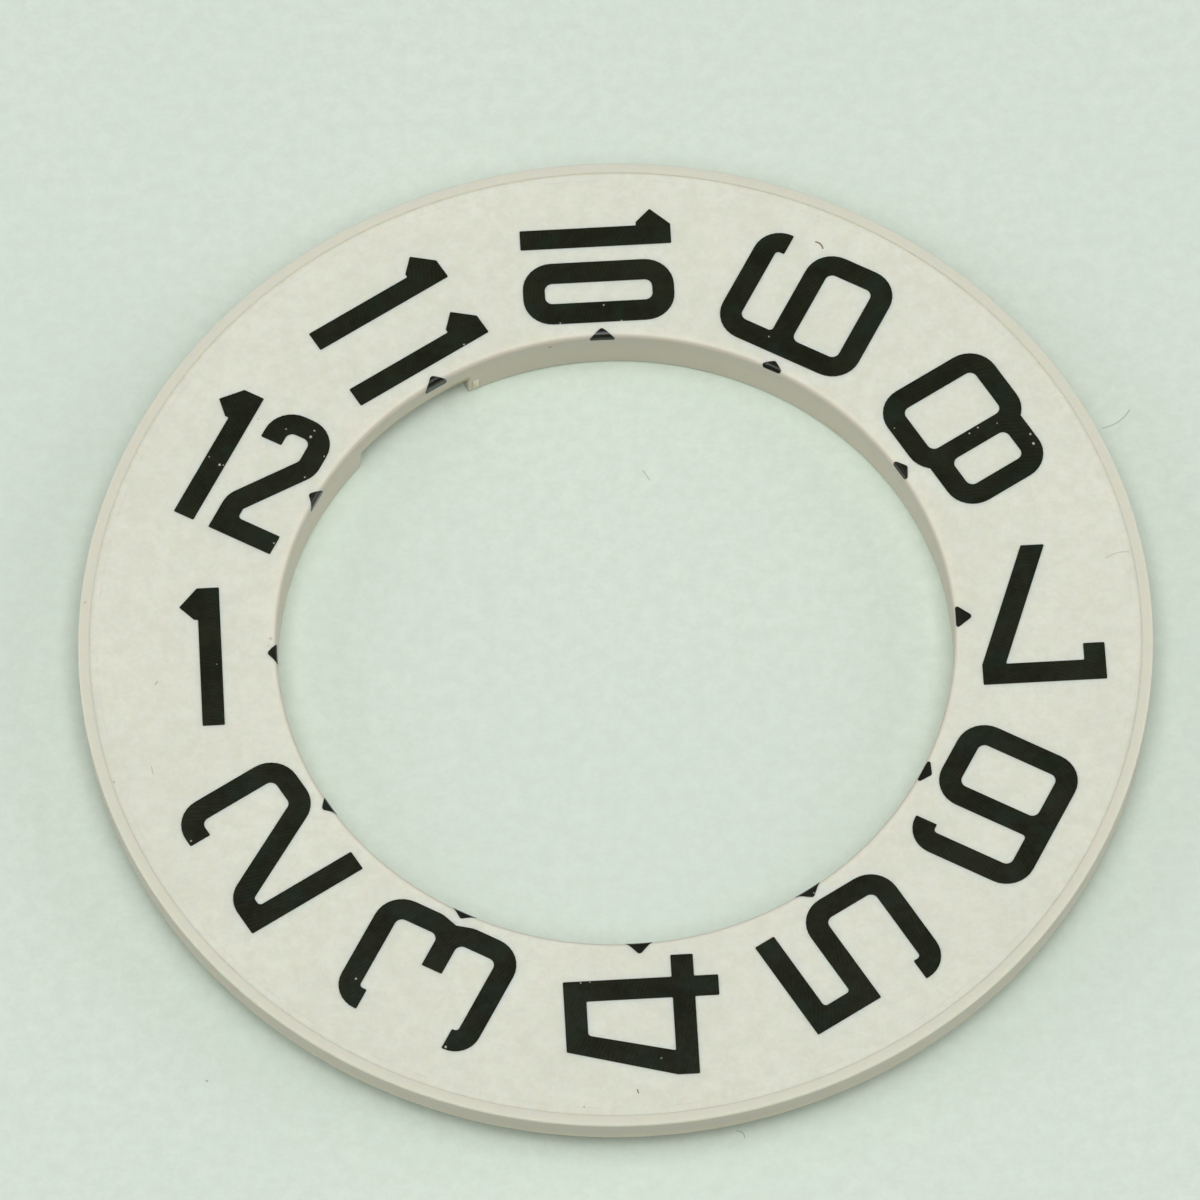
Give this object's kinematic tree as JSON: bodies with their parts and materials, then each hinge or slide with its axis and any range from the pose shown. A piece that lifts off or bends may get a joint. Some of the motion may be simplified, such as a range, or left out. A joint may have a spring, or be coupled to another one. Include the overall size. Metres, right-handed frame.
{
  "type": "watch hour disc",
  "caption": "Flat moulded ring for a jumping-hour watch: printed hours and pointer marks on a thin web, a deeper collar round the bore, and a driving notch in it.",
  "frame": {"origin": "on the disc's axis, in the plane of the collar's foot", "axes": "+Z along the axis, out of the printed face; +X towards the hour 7, whose figure reads upright on the left with the hour's head towards -Y; +Y is the far side in the picture"},
  "size_m": [0.028, 0.028, 0.0016],
  "materials": {
    "ring": "fine matt as moulded, off-white",
    "ink": "pad-printed gloss ink, near-black"
  },
  "bodies": {
    "root": {"hour_ring": "ring", "numeral_1": "ink", "numeral_2": "ink", "numeral_3": "ink", "numeral_4": "ink", "numeral_5": "ink", "numeral_6": "ink", "numeral_7": "ink", "numeral_8": "ink", "numeral_9": "ink", "numeral_10_tens": "ink", "numeral_10_units": "ink", "numeral_11_tens": "ink", "numeral_11_units": "ink", "numeral_12_tens": "ink", "numeral_12_units": "ink", "mark_1": "ink", "mark_2": "ink", "mark_3": "ink", "mark_4": "ink", "mark_5": "ink", "mark_6": "ink", "mark_7": "ink", "mark_8": "ink", "mark_9": "ink", "mark_10": "ink", "mark_11": "ink", "mark_12": "ink"}
  },
  "joints": []
}
